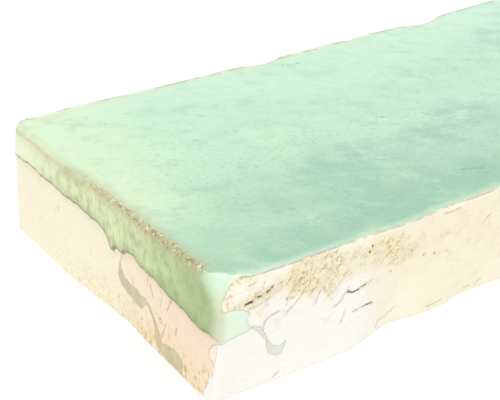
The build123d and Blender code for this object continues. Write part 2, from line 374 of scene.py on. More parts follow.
class TileFinish(PropertyGroup):
    """Colours of the glaze and the clay."""

    mint: colour("Mint", "Glaze of the face", 188, 229, 198)
    pale_mint: colour("Pale mint", "Glaze towards the back", 201, 238, 208)
    thin_mint: colour("Thin mint", "Glaze by the dipped arris", 222, 242, 203)
    pooled_mint: colour("Pooled mint", "Glaze where it lies thick", 156, 200, 170)
    teal: colour("Teal", "Glaze in its pools", 146, 197, 171)
    fleck: colour("Fleck", "Specks in the glaze", 134, 180, 154)
    # Mark also paints the shade in the pits beside the painted glints of the face.
    mark: colour("Mark", "Dark marks in the glaze", 106, 144, 120)
    # Painted shadow: the dark grey-green line along the back edge of the glazed face.
    back_edge_shadow: colour("Dusk", "Glaze at the back edge of the face", 168, 178, 150)
    wrap: colour("Wrap", "Glaze wrapped round the corner", 227, 246, 221)
    # Partly a painted highlight: the paler glaze where the apron turns into the wrap, on the rounded upright
    # edge of the near corner that catches the light.
    strip: colour("Strip", "Thin glaze on the upright edge of the near corner", 214, 215, 182)
    apron_pale: colour("Pale apron", "Run glaze at the back of the end", 240, 248, 204)
    apron_green: colour("Green apron", "Run glaze in the middle of the end", 220, 231, 177)
    apron_deep: colour("Deep apron", "Run glaze at the near corner", 170, 193, 133)
    apron_dark: colour("Dark apron", "Blotches of the run glaze", 142, 162, 100)
    # The rim is thick glaze, and its darkness is partly painted shade under the glaze's roll.
    rim: colour("Rim", "Thick lower edge of the run glaze", 128, 120, 62)
    dust: colour("Dust", "Smoothly worn arris", 184, 176, 148)
    sand: colour("Sand", "Worn arris", 190, 180, 138)
    grit: colour("Grit", "Dark grains of the worn arris", 118, 98, 56)
    cut: colour("Cut", "Broken edge of the glaze", 168, 170, 142)
    cream: colour("Cream clay", "Clay of the dipped end", 254, 246, 220)
    pink: colour("Pink clay", "Flushed clay by the near corner", 251, 230, 203)
    # Chalk is also the colour of the painted glints in the glazed face.
    chalk: colour("Chalk clay", "Clay of the hammered sides", 252, 251, 242)
    ochre: colour("Ochre", "Stain in the crumbled clay", 236, 214, 152)
    olive: colour("Olive", "Deepest strokes of the crumbled clay", 190, 168, 108)
    umber: colour("Umber", "Edges of flakes and pits", 150, 122, 76)
    hair: colour("Hair", "Closed cracks", 140, 132, 88)
    crack: colour("Crack", "Open cracks", 66, 54, 38)
    end_run: colour("End run", "Thin glaze run down the dipped end", 206, 195, 160)
    front_run: colour("Front run", "Thin glaze run down the front side", 226, 230, 210)


class TileStage(PropertyGroup):
    """Floor, light and camera."""

    floor: colour("Floor", "Pale floor", 255, 255, 255)
    glow: FloatProperty(
        name="Glow", description="Share of the floor's light that is its own", default=0.5, min=0, max=1
    )
    sky: FloatProperty(name="Sky", description="Level of the even light from all round", default=0.75, min=0)
    key: FloatProperty(name="Key", description="Level of the lamp above on the left", default=0.4, min=0)
    eye: FloatVectorProperty(
        name="Eye", description="Where the camera stands", subtype="XYZ", unit="LENGTH", precision=5,
        default=(-139.82 * MM, -118.58 * MM, 87.53 * MM),
    )
    turn: FloatProperty(
        name="Turn", description="From looking along +Y towards +X", subtype="ANGLE",
        default=math.radians(36.052),
    )
    dip: FloatProperty(
        name="Dip", description="Down from level", subtype="ANGLE", default=math.radians(28.174)
    )
    roll: FloatProperty(
        name="Roll", description="About the line of sight", subtype="ANGLE", default=math.radians(1.008)
    )
    lens: FloatProperty(
        name="Lens", description="Focal length on a 36 mm sensor", subtype="DISTANCE_CAMERA", default=90.17
    )


def smooth(low, high, value):
    """Smooth step: 0 before low, 1 after high, and 3t^2 - 2t^3 between, either way round."""
    t = np.clip((value - low) / (high - low), 0, 1)
    return t * t * (3 - 2 * t)


def graded(low, high, count, closeness):
    """Grid lines from low to high that split the integral of a closeness over place in equal shares."""
    fine = np.linspace(low, high, 4001)
    weight = closeness(fine)
    total = np.concatenate([[0], np.cumsum(weight[1:] + weight[:-1])])
    return np.interp(np.linspace(0, total[-1], count + 1), total, fine)


def value_noise(points, size, seed):
    """Random heights from -1 to 1 at the corners of cubes of that size, blended by smooth steps."""
    heights = np.random.default_rng(seed).uniform(-1, 1, NOISE_HEIGHTS)
    cell = np.floor(points / size).astype(np.int64)
    share = smooth(0, 1, points / size - cell)
    total = np.zeros(len(points))
    for corner in np.ndindex(2, 2, 2):
        weight = np.where(corner, share, 1 - share).prod(1)
        key = (cell + corner) * NOISE_KEYS
        total += weight * heights[(key[:, 0] ^ key[:, 1] ^ key[:, 2]) % NOISE_HEIGHTS]
    return total


def rough_noise(points, size, seed, layers=3):
    """Layers of value noise, each half the size and half the height of the last."""
    return sum(value_noise(points, size / 2**n, seed + n) / 2**n for n in range(layers))


def to_segment(places, start, end):
    """Share along a segment of the point nearest to each place, and the distance to that point."""
    along = end - start
    share = np.clip((places - start) @ along / (along @ along), 0, 1)
    return share, np.linalg.norm(places - start - share[:, None] * along, axis=1)


def path_field(places, run):
    """How far each place lies inside a run: its half width at the nearest point, less the distance."""
    best = np.full(len(places), -1.0)
    for start, end in zip(run[:-1], run[1:]):
        share, away = to_segment(places, start[:2], end[:2])
        best = np.maximum(best, start[2] + (end[2] - start[2]) * share - away)
    return best


def patch_field(places, corners):
    """Signed distance to a closed outline: to the nearest edge, positive inside by even-odd crossings."""
    nearest = np.full(len(places), np.inf)
    inside = np.zeros(len(places), bool)
    for start, end in zip(corners, np.roll(corners, -1, 0)):
        nearest = np.minimum(nearest, to_segment(places, start, end)[1])
        crosses = (start[1] > places[:, 1]) != (end[1] > places[:, 1])
        rise = np.where(crosses, end[1] - start[1], 1)
        inside ^= crosses & (places[:, 0] < start[0] + (end[0] - start[0]) * (places[:, 1] - start[1]) / rise)
    return np.where(inside, nearest, -nearest)


def apron_line(across):
    """Lower edge of the run glaze: a tanh fall from back to front, sine ripples, and beads as bell curves."""
    line = APRON_MIDDLE + APRON_FALL * np.tanh((across - APRON_TURN) / APRON_STRETCH)
    for size, height in APRON_RIPPLES:
        line = line + height * np.sin(2 * np.pi * across / size)
    for place, spread, drop in BEADS:
        line = line - drop * np.exp(-(((across - place) / spread) ** 2))
    return line


def apron_field(across, height):
    """Distance above the apron's lower edge, measured square to that edge."""
    step = 0.05 * MM
    slope = (apron_line(across + step) - apron_line(across - step)) / (2 * step)
    return (height - apron_line(across)) / np.hypot(1, slope)


def box_lattice(xs, ys, zs):
    """Points and outward quads of a box: six grids of two parameters that share the points of their edges."""
    shape = (len(xs), len(ys), len(zs))
    on_surface = np.ones(shape, bool)
    on_surface[1:-1, 1:-1, 1:-1] = False
    number = np.full(shape, -1)
    number[on_surface] = np.arange(on_surface.sum())
    points = np.stack(np.meshgrid(xs, ys, zs, indexing="ij"), -1)[on_surface]
    quads = []
    for axis in range(3):
        for side in (0, -1):
            sheet = np.take(number, side, axis)
            ring = [sheet[:-1, :-1], sheet[1:, :-1], sheet[1:, 1:], sheet[:-1, 1:]]
            outward = (side == -1) != (axis == 1)
            quads.append(np.stack(ring if outward else ring[::-1], -1).reshape(-1, 4))
    return points, np.concatenate(quads)


def tile_lattice(shape):
    """The tile's grid: close lines by the edges, by the glaze's lower edge and over the dipped end."""
    half_length, half_width = shape.length / 2, shape.width / 2

    def near(place, target, reach):
        return np.exp(-np.abs(place - target) / reach)

    def over_run(y):
        return smooth(-20 * MM, -18 * MM, y) * smooth(0, -2 * MM, y)

    xs = graded(-half_length, half_length, CELLS_ALONG, lambda x: (
        1 + CLOSER_DETAIL * smooth(DETAILED_LENGTH * 1.2, DETAILED_LENGTH * 0.8, x + half_length)
        + CLOSER_ENDS * near(np.abs(x), half_length, SIDE_REACH)
    ))
    ys = graded(-half_width, half_width, CELLS_ACROSS, lambda y: (
        1 + over_run(y) + CLOSER_SIDES * near(np.abs(y), half_width, SIDE_REACH)
    ))
    low = graded(0, APRON_MIDDLE, CELLS_UP // 2, lambda z: (
        1 + CLOSER_BACK * near(z, 0, FACE_REACH) + CLOSER_APRON * near(z, APRON_MIDDLE, APRON_REACH)
    ))
    high = graded(APRON_MIDDLE, shape.thickness, CELLS_UP - CELLS_UP // 2, lambda z: (
        1 + CLOSER_APRON * near(z, APRON_MIDDLE, APRON_REACH)
        + CLOSER_FACE * near(z, shape.thickness, FACE_REACH)
    ))
    return box_lattice(xs, ys, np.concatenate([low, high[1:]]))


def follow_apron(box, shape):
    """Slides grid lines so that one runs along the apron's edge, less and less along the sides."""
    x, y, z = box.T
    below, above = z / APRON_MIDDLE, (shape.thickness - z) / (shape.thickness - APRON_MIDDLE)
    hold = 1 - smooth(0, APRON_HOLD, x + shape.length / 2)
    return np.stack([x, y, z + (apron_line(y) - APRON_MIDDLE) * np.minimum(below, above) * hold], -1)


def quarter_round(inset, depth, radius):
    """What turns the square corner of two faces into a quarter round: a square drawn in to a disc."""
    a, b = np.clip(radius - inset, 0, None), np.clip(radius - depth, 0, None)
    loss = 1 - np.maximum(a, b) / np.maximum(np.hypot(a, b), 1e-9)
    return a * loss, b * loss


def round_box(box, shape):
    """The box with rounded plan corners and edges: each point moves along the line from the corner's centre.

    The near corner's arc is drawn in towards its chord, as a facet, more and more towards the face.
    """
    half = np.array([shape.length, shape.width]) / 2
    plan, height = box[:, :2], box[:, 2]
    rise = smooth(*OPENING_LEVELS, height / shape.thickness)
    near = shape.low_corner + (shape.near_corner - shape.low_corner) * rise
    far = shape.hammered_corner + (shape.far_corner - shape.hammered_corner) * rise
    radius = np.where(plan[:, 0] > 0, shape.hammered_corner, np.where(plan[:, 1] < 0, near, far))
    dipped = 1 - smooth(0, ARRIS_CHANGE, plan[:, 0] + half[0])
    arris = shape.hammered_arris + (shape.arris - shape.hammered_arris) * dipped
    inset = (half - np.abs(plan)).min(1)
    top_in, top_down = quarter_round(inset, shape.thickness - height, arris)
    back_in, back_up = quarter_round(inset, height, shape.back_edge)
    core = half - radius[:, None]
    centre = np.clip(plan, -core, core)
    spoke = plan - centre
    reach = np.abs(spoke).max(1) - top_in - back_in
    spoke /= np.maximum(np.linalg.norm(spoke, axis=1), 1e-9)[:, None]
    flat = FACET_SHARE * rise * (plan < 0).all(1)
    reach *= 1 - flat + flat / np.maximum(np.abs(spoke).sum(1), 1)
    return np.column_stack([centre + spoke * reach[:, None], height - top_down + back_up])


def curve(places, values, at):
    """A smooth curve through a table: cubic pieces that meet with the slope of the entries on either side."""
    slopes = np.gradient(values, places)
    piece = np.clip(np.searchsorted(places, at) - 1, 0, len(places) - 2)
    run = places[piece + 1] - places[piece]
    t = np.clip((at - places[piece]) / run, 0, 1)
    ends = values[piece] * (1 + 2 * t) * (1 - t) ** 2 + values[piece + 1] * (3 - 2 * t) * t**2
    return ends + run * (slopes[piece] * t * (1 - t) ** 2 - slopes[piece + 1] * (1 - t) * t**2)


def stray(side, place, rise):
    """How far a side stands out at a place along it: its two curves, mixed from the back to the face."""
    return curve(side[:, 0], side[:, 1], place) * rise - curve(side[:, 0], side[:, 2], place) * (1 - rise)


def warp_slab(points, shape):
    """Lets every side stray and lean, less and less towards the middle, and swells the glazed face."""
    x, y, z = points.T
    half_length, half_width = shape.length / 2, shape.width / 2
    rise = z / shape.thickness
    to_cut, to_back = np.clip(x / half_length, -1, 1), np.clip(y / half_width, -1, 1)
    new_x = x + np.where(to_cut < 0, stray(DIPPED_END, y, rise), stray(CUT_END, y, rise)) * to_cut
    new_y = y + np.where(to_back < 0, stray(FRONT_SIDE, x, rise), stray(BACK_SIDE, x, rise)) * to_back
    waves = 2 * np.pi * points[:, :2] / SWELL_LENGTHS + SWELL_PHASES
    from_sag = ((x + half_length) ** 2 + (y - SAG_PLACE) ** 2) / SAG_SPREAD**2
    lift = shape.swell * np.sin(waves[:, 0]) * np.cos(waves[:, 1]) - shape.sag * np.exp(-from_sag)
    return np.stack([new_x, new_y, z + lift * rise**SWELL_POWER], -1)


def strike_scoops(points, shape):
    """Points inside a bite's ball move straight out from its centre to the ball's surface."""
    rows = (
        # bites, the side they are in, its level, and the way out of the edge in y and z
        (BACK_ARRIS_SCOOPS, BACK_SIDE, 1, 1, 1),
        (FRONT_ARRIS_SCOOPS, FRONT_SIDE, 1, -1, 1),
        (BACK_HEEL_SCOOPS, BACK_SIDE, 0, 1, -1),
        (FRONT_HEEL_SCOOPS, FRONT_SIDE, 0, -1, -1),
    )
    points = points.copy()
    for bites, side, rise, out_y, out_z in rows:
        for x, depth, radius in bites:
            away = radius - depth
            edge_y = shape.width / 2 + stray(side, x, rise)
            centre_y = out_y * (edge_y + away * math.cos(SCOOP_LEAN))
            centre = (x, centre_y, rise * shape.thickness + out_z * away * math.sin(SCOOP_LEAN))
            spoke = points - centre
            distance = np.linalg.norm(spoke, axis=1, keepdims=True)
            points = np.where(distance < radius, centre + spoke * radius / distance, points)
    return points


def outward_normals(points, quads):
    """Normals at the points: the sum of the cross products of the diagonals of the quads round each."""
    p, q, r, s = points[quads].transpose(1, 0, 2)
    cross = np.cross(r - p, s - q)
    total = np.zeros_like(points)
    for corner in range(4):
        np.add.at(total, quads[:, corner], cross)
    return total / np.linalg.norm(total, axis=1, keepdims=True)


def crack_parts(places, cracks, specks):
    """Each piece of a crack and each speck: the distance, the place across in half widths, and the ink."""
    for half_width, darkness, line in cracks:
        line = np.array(line) * MM
        for start, end in zip(line[:-1], line[1:]):
            along, off = end - start, places - start
            distance = to_segment(places, start, end)[1]
            across = (off[:, 0] * along[1] - off[:, 1] * along[0]) / np.linalg.norm(along)
            ink = darkness * smooth(INK_REACH, 0.5 * INK_REACH, distance)
            yield distance, across / (half_width * MM), ink
    for speck in specks:
        distance = np.linalg.norm(places - speck, axis=1)
        ink = SPECK_INK * smooth(1.5 * INK_REACH, INK_REACH, distance)
        yield distance, distance / SPECK_RADIUS, ink


def crack_fields(places, cracks, specks=()):
    """Place across the nearest crack or speck, in its half widths, and its ink."""
    nearest = np.full(len(places), np.inf)
    aside, ink = np.ones(len(places)), np.zeros(len(places))
    for distance, across, darkness in crack_parts(places, cracks, specks):
        closer = distance < nearest
        nearest = np.where(closer, distance, nearest)
        aside = np.where(closer, across, aside)
        ink = np.where(closer, darkness, ink)
    return np.clip(aside, -ASIDE_LIMIT, ASIDE_LIMIT), ink


def apron_share(box, on_end, on_top, shape):
    """Share of run glaze: all of the dipped end, fading round its corners and just over its arris."""
    x, y, z = box.T
    from_end = x + shape.length / 2
    round_corner = np.where(on_end, np.abs(y) - shape.width / 2, from_end)
    drawn_back = APRON_PAST_CORNER - APRON_DRAWN_BACK * smooth(*DRAWING_HEIGHTS, z)
    middle = np.where(y < 0, drawn_back, 0)
    fading = APRON_FADING + MORE_FADING * smooth(*FADING_HEIGHTS, z)
    share = 1 - smooth(middle - fading, middle + SIDE_FADING, round_corner)
    over_arris = smooth(*OVER_ARRIS, from_end) * smooth(*PAST_FACET, y)
    return np.where(on_top, over_arris, share)


def front_crumble(box, places, shape):
    """Share of crumbled clay on the front side: the most of its areas, its band and a loose share."""
    x, _, z = box.T
    areas = ((places[:, None] - CRUMBLED_AREAS[:, :2]) / CRUMBLED_AREAS[:, 2:]) ** 2
    share = (CRUMBLED_SHARES * (1 - smooth(0, CRUMBLED_END, areas.sum(2)))).max(1)
    band = BAND_SHARE * smooth(*BAND_EDGE, patch_field(places, CRUMBLED_BAND))
    band *= 1 - 0.5 * smooth(*BAND_FADING, x)
    loose = LOOSE_SHARE * smooth(*LOOSE_FROM_BACK, z) * smooth(*LOOSE_FROM_FACE, shape.thickness - z)
    return np.maximum(np.maximum(share, band), loose)


def tile_fields(box, points, shape):
    """Fields that place the finishes: faces and edges from the unrounded box, places from the warped points.

    glaze: distance inside the glazed area. run: distance inside a thin run. arris: distance from the dipped
    arris, positive on the face. apron: share of run glaze. corner: distance round the near corner, negative
    on the end. crumble: share of crumbled clay. crack, ink: place across a crack or mark and its darkness,
    which on the face is below 0 for a painted glint.
    pool: how thick the glaze of the face lies. flake: distance inside the lost flake. end, front: which side
    a point is on.
    """
    x, y, z = box.T
    half_length, half_width = shape.length / 2, shape.width / 2
    on_end, on_front, on_back = x < TOUCH - half_length, y < TOUCH - half_width, y > half_width - TOUCH
    on_top, on_bottom = z > shape.thickness - TOUCH, z < TOUCH
    from_end, below = x + half_length, shape.thickness - z
    side_places, end_places = points[:, [0, 2]], points[:, [1, 2]]

    to_cut_edges = np.minimum(half_width - np.abs(y), half_length - x)
    glaze = np.where(on_top, to_cut_edges + ARRIS_INSIDE * smooth(*ARRIS_SPAN, from_end), -below)
    near_wrap = np.maximum(patch_field(side_places, UPPER_WRAP), patch_field(side_places, LOWER_WRAP))
    glaze = np.where(on_front, np.maximum(glaze, near_wrap), glaze)
    glaze = np.where(on_back, np.maximum(glaze, patch_field(side_places, BACK_WRAP)), glaze)
    glaze = np.where(on_end & ~on_top, apron_field(points[:, 1], z), glaze)
    glaze = np.where(on_end & on_top, ARRIS_INSIDE, glaze)

    run = np.where(on_end, path_field(end_places, END_RUN), -1.0)
    run = np.where(on_front & ~on_end, path_field(side_places, FRONT_RUN), run)
    distances = {
        "glaze": glaze,
        "run": run,
        "arris": np.where(on_end, -below, from_end + below),
        "corner": np.where(on_end, -half_width - y, from_end),
        "flake": np.where(on_end, patch_field(end_places, CORNER_FLAKE), -1.0),
    }

    pools = ((points[:, None, :2] - POOLED_AREAS[:, :2]) / POOLED_AREAS[:, 2:]) ** 2
    pool = (1 - smooth(0, POOL_END, pools.sum(2))).max(1)
    side_crumble = SIDE_SHARE * smooth(-0.4, 1, value_noise(box, *CRUMBLE_NOISE))
    elsewhere = np.where(on_end | on_top | on_bottom, 0, side_crumble)
    end_crack, end_ink = crack_fields(end_places, END_CRACKS, END_SPECKS)
    front_crack, front_ink = crack_fields(side_places, FRONT_CRACKS, FRONT_SPECKS)
    face_crack, face_ink_and_glints = crack_fields(points[:, :2], FACE_MARKS_AND_GLINTS)
    side_ink = np.where(on_end, end_ink, np.where(on_front, front_ink, 0))
    shares = {
        "apron": apron_share(box, on_end, on_top, shape),
        "crumble": np.where(on_front, front_crumble(box, side_places, shape), elsewhere),
        "crack": np.where(on_top, face_crack, np.where(on_end, end_crack, front_crack)),
        "ink": np.where(on_top, face_ink_and_glints, side_ink),
        "pool": pool * on_top,
        "end": on_end.astype(float),
        "front": (on_front & ~on_end).astype(float),
    }
    return shares | {name: np.clip(field, -FIELD_REACH, FIELD_REACH) for name, field in distances.items()}


def coat_tile(points, normals, box, fields, shape):
    """Relief of the glaze and the clay, added along the normals.

    The bare end is cut back to a plane behind the glaze, with a quarter-round lip between. Wraps and runs
    stand proud. Crumbled clay is dug out by rough noise, and the glazed face ripples.
    """
    x, _, z = box.T
    on_top, on_bottom = z > shape.thickness - TOUCH, z < TOUCH
    above_line = apron_field(points[:, 1], z)
    lip = np.sqrt(1 - (1 - np.clip(above_line / LIP_WIDTH, 0, 1)) ** 2)
    lip = np.where(on_top, 1, lip)
    end_x = -shape.length / 2 - stray(DIPPED_END, points[:, 1], points[:, 2] / shape.thickness)
    points = np.column_stack([np.maximum(points[:, 0], end_x + shape.coat * (1 - lip)), points[:, 1:]])

    on_side = ~on_top & ~on_bottom
    on_end = fields["end"] > 0.5
    wrap = smooth(0, LIP_WIDTH, fields["glaze"]) * on_side * ~on_end
    wrap *= smooth(0, 1.5 * MM, x + shape.length / 2)
    run = smooth(0, 0.3 * MM, fields["run"])
    bare = smooth(0.1 * MM, -0.3 * MM, fields["glaze"]) * on_side
    clay_level = shape.chatter * rough_noise(points, *CHATTER_NOISE)
    dug = smooth(-0.2, 1.2, rough_noise(points, *TORN_NOISE, TORN_LAYERS))
    dug += PIT_SHARE * smooth(0, 0.5, value_noise(points, *PIT_NOISE))
    ripple = shape.ripple * value_noise(points, *RIPPLE_NOISE) * on_top
    relief = WRAP_COAT * wrap + RUN_COAT * run + ripple
    relief -= FLAKE_DEPTH * smooth(0, 0.3 * MM, fields["flake"])
    relief += bare * (clay_level - shape.crumble * fields["crumble"] * dug)
    return points + normals * relief[:, None]


class Recipe:
    """Builds one node tree: each method adds a node and gives its output socket."""

    def __init__(self, tree):
        self.tree = tree

    def add(self, kind, inputs, output=0, **settings):
        """Adds a node of that kind, with its settings, and links or sets its inputs."""
        node = self.tree.nodes.new(kind)
        for name, value in settings.items():
            setattr(node, name, value)
        for key, value in inputs.items():
            if isinstance(value, bpy.types.NodeSocket):
                self.tree.links.new(value, node.inputs[key])
            else:
                node.inputs[key].default_value = value
        return node.outputs[output]

    def field(self, name):
        """One of the tile's fields."""
        return self.add("ShaderNodeAttribute", {}, "Fac", attribute_name=name)

    def math(self, operation, a, b=0.0, clamp=False):
        """One sum of two numbers."""
        return self.add("ShaderNodeMath", {0: a, 1: b}, operation=operation, use_clamp=clamp)

    def vector(self, operation, a, b):
        """One sum of two vectors."""
        return self.add("ShaderNodeVectorMath", {0: a, 1: b}, operation=operation)

    def step(self, value, low, high, size=1.0):
        """Smooth step from 0 at low to size at high."""
        ends = {"Value": value, "From Min": low, "From Max": high, "To Max": size}
        return self.add("ShaderNodeMapRange", ends, interpolation_type="SMOOTHSTEP")

    def noise(self, place, size, detail=2.0, roughness=0.5):
        """Soft noise with lumps of that size, about 0.5."""
        inputs = {"Vector": place, "Scale": 1 / size, "Detail": detail, "Roughness": roughness}
        return self.add("ShaderNodeTexNoise", inputs, "Fac")

    def patches(self, place, size, low, high, share=1.0, detail=3.0, roughness=0.5):
        """Patches of that size: a smooth step of soft noise, from 0 at low to the share at high."""
        return self.step(self.noise(place, size, detail, roughness), low, high, share)

    def jitter(self, place, size, spread):
        """Noise about 0, of that spread from low to high, to break up the edge of a field."""
        return self.product(self.math("SUBTRACT", self.noise(place, size, 3), 0.5), spread)

    def ragged(self, name, place, size, spread):
        """One of the tile's fields with jitter added."""
        return self.math("ADD", self.field(name), self.jitter(place, size, spread))

    def grains(self, place, size, output="Distance"):
        """Distance to the nearest of scattered points, in shares of their spacing, or its random colour."""
        return self.add("ShaderNodeTexVoronoi", {"Vector": place, "Scale": 1 / size}, output)

    def mix(self, share, a, b):
        """A colour between two others."""
        return self.add("ShaderNodeMix", {0: share, 6: a, 7: b}, 2, data_type="RGBA")

    def tint(self, hue, colour_property, *shares):
        """A hue with a colour of the finish over it, as much as the product of the shares."""
        return self.mix(self.product(*shares), hue, rgba(colour_property))

    def rest(self, share):
        """What a share leaves of the whole."""
        return self.math("SUBTRACT", 1.0, share)

    def turned(self, place, angle, axis):
        """The place turned about the Y or the Z axis, so that a pattern along X then lies at that slant."""
        inputs = {"Vector": place, "Angle": angle}
        return self.add("ShaderNodeVectorRotate", inputs, rotation_type=axis + "_AXIS")

    def product(self, *values):
        """Several numbers multiplied."""
        total = values[0]
        for value in values[1:]:
            total = self.math("MULTIPLY", total, value)
        return total

    def axis(self, place, name):
        """One coordinate of the place."""
        return self.add("ShaderNodeSeparateXYZ", {0: place}, name)

    def stretched(self, place, along, across, up):
        """The place with each axis divided by its factor, so that a pattern is drawn out along it."""
        return self.vector("MULTIPLY", place, (1 / along, 1 / across, 1 / up))


def rgba(colour_property):
    """A colour property as a shader's four numbers."""
    return (*colour_property, 1.0)


def specks(recipe, place, spacing, radius, kept):
    """Round specks: near the scattered points, for the share of them whose random colour is dark enough."""
    distance = recipe.grains(place, spacing)
    chance = recipe.add("ShaderNodeSeparateColor", {0: recipe.grains(place, spacing, "Color")}, 0)
    spot = recipe.step(distance, radius / spacing, 0.4 * radius / spacing)
    return recipe.product(spot, recipe.math("LESS_THAN", chance, kept))


def clouded_mint(recipe, along, across, finish):
    """Slow clouds of the face: paler to the back, pooled to the front and thin towards the dipped end."""
    hue = recipe.tint(rgba(finish.mint), finish.pale_mint, recipe.step(across, 2 * MM, 30 * MM))
    hue = recipe.tint(hue, finish.pooled_mint, recipe.step(across, -4 * MM, -28 * MM))
    thin = recipe.product(recipe.step(along, -50 * MM, -76 * MM), recipe.step(across, -26 * MM, 2 * MM, 0.5))
    thin = recipe.math("ADD", thin, recipe.step(along, -56 * MM, -76 * MM, 0.3))
    return recipe.tint(hue, finish.thin_mint, thin)


def brushed_mint(recipe, place, along, across, hue, finish):
    """Slanting smears, pools, grain and flecks over a hue, calmer to the back and by the dipped end."""
    brushed = recipe.turned(place, BRUSH_SLANT, "Z")
    smear = recipe.noise(recipe.stretched(brushed, 1.6, 1, 1), 2.4 * MM, 4, 0.62)
    hue = recipe.tint(hue, finish.teal, recipe.field("pool"), recipe.step(smear, 0.32, 0.62, 0.75))
    hue = recipe.tint(hue, finish.pooled_mint, recipe.step(smear, 0.46, 0.74, 0.45))
    hue = recipe.tint(hue, finish.pale_mint, recipe.step(smear, 0.48, 0.25, 0.35))
    hue = recipe.tint(hue, finish.thin_mint, recipe.patches(place, 9 * MM, 0.52, 0.72, 0.3))
    grain = recipe.noise(recipe.stretched(brushed, 1.3, 1, 1), 0.5 * MM, 3, 0.65)
    calm = recipe.math("ADD", recipe.step(across, 22 * MM, -12 * MM, 0.7), 0.3)
    calm = recipe.product(calm, recipe.math("ADD", recipe.step(along, -76 * MM, -60 * MM, 0.5), 0.5))
    hue = recipe.tint(hue, finish.fleck, recipe.step(grain, 0.5, 0.72, 0.5), calm)
    hue = recipe.tint(hue, finish.pale_mint, recipe.step(grain, 0.44, 0.25, 0.3))
    for spacing, radius, kept, strength in ((1.4, 0.32, 0.45, 0.35), (4.5, 0.5, 0.4, 0.6)):
        spots = specks(recipe, recipe.stretched(brushed, 1.4, 1, 1), spacing * MM, radius * MM, kept)
        hue = recipe.tint(hue, finish.fleck, spots, calm, strength)
    return hue


def marks_and_glints(recipe, place, hue, finish):
    """Dark marks and painted glints over a hue, broken up by noise: ink below 0 is a painted glint."""
    aside = recipe.ragged("crack", place, 0.9 * MM, 3)
    mark = recipe.step(recipe.math("ABSOLUTE", aside), 1.8, 0.2, 0.75)
    mark = recipe.product(mark, recipe.patches(place, 0.8 * MM, 0.38, 0.56))
    ink = recipe.field("ink")
    # Dark marks: flecks in the glaze, and painted shade in the pits beside the glints.
    hue = recipe.tint(hue, finish.mark, mark, recipe.step(ink, 0, 1))
    # Painted glints: ink below 0 lays the pale chalk colour into the glaze as highlights.
    return recipe.tint(hue, finish.chalk, mark, recipe.step(ink, 0, -1))


def face_glaze(recipe, place, finish):
    """Mint glaze of the face: clouds, brush strokes, marks and painted glints, deeper to the front, paler at
    its cut edge in front, and darkened along its back edge as a painted shadow.
    """
    along, straight_across = recipe.axis(place, "X"), recipe.axis(place, "Y")
    across = recipe.math("ADD", straight_across, recipe.jitter(place, 14 * MM, 30 * MM))
    hue = clouded_mint(recipe, along, across, finish)
    hue = brushed_mint(recipe, place, along, across, hue, finish)
    hue = marks_and_glints(recipe, place, hue, finish)
    inside = recipe.field("glaze")
    inner = recipe.product(recipe.step(inside, 0.8 * MM, 2.2 * MM), recipe.step(inside, 4.5 * MM, 2.6 * MM))
    hue = recipe.tint(hue, finish.pooled_mint, inner, recipe.step(across, 5 * MM, -15 * MM, 0.35))
    at_back = recipe.step(straight_across, 0, 20 * MM)
    yellowed = recipe.product(at_back, recipe.step(inside, 2.9 * MM, 0.4 * MM, 0.5))
    hue = recipe.tint(hue, finish.apron_green, yellowed, recipe.step(along, 0, -30 * MM))
    # The cut edge of the face is paler in front, and along the back it takes a painted shadow line.
    broken = recipe.patches(place, 4 * MM, 0.42, 0.56)
    edge = recipe.tint(rgba(finish.wrap), finish.back_edge_shadow, at_back, broken)
    shown = recipe.math("ADD", recipe.product(at_back, 0.3), 0.34)
    return recipe.mix(recipe.product(recipe.step(inside, 1.4 * MM, 0.3 * MM), shown), hue, edge)


def apron_glaze(recipe, place, finish):
    """Run glaze of the dipped end: pale to the back, green to the near corner, blotched, darker low down and
    dark at its rim, which is thick glaze partly darkened as painted shade under its roll.
    """
    across = recipe.math("ADD", recipe.axis(place, "Y"), recipe.jitter(place, 5 * MM, 12 * MM))
    hue = recipe.tint(rgba(finish.apron_pale), finish.apron_green, recipe.step(across, 25 * MM, 8 * MM))
    hue = recipe.tint(hue, finish.apron_deep, recipe.step(across, 2 * MM, -22 * MM))
    fade = recipe.step(across, 22 * MM, 6 * MM)
    blotches = recipe.noise(recipe.stretched(place, 1, 1, 1.5), 1.3 * MM, 2, 0.5)
    hue = recipe.tint(hue, finish.apron_dark, recipe.step(blotches, 0.48, 0.66, 0.4), fade)
    light = recipe.product(recipe.step(blotches, 0.48, 0.32, 0.35), recipe.step(across, -18 * MM, -4 * MM))
    hue = recipe.tint(hue, finish.apron_pale, light)
    streaks = recipe.noise(recipe.stretched(place, 1, 1, 2), 0.5 * MM, 3, 0.6)
    hue = recipe.tint(hue, finish.apron_dark, recipe.step(streaks, 0.52, 0.7, 0.5), fade)
    # Darker towards the lower edge and at the rim: thick glaze, partly painted shade under its roll.
    inside = recipe.ragged("glaze", place, 0.6 * MM, 0.24 * MM)
    hue = recipe.tint(hue, finish.apron_dark, recipe.step(inside, 1.9 * MM, 0.5 * MM, 0.45), fade)
    return recipe.tint(hue, finish.rim, recipe.step(inside, 0.7 * MM, 0.34 * MM, 0.75))


def flakes(recipe, place):
    """Soft noise drawn out along the tile, for the flakes of the crumbled clay."""
    return recipe.noise(recipe.stretched(place, 1.6, 1, 1), 1.5 * MM, 4, 0.6)


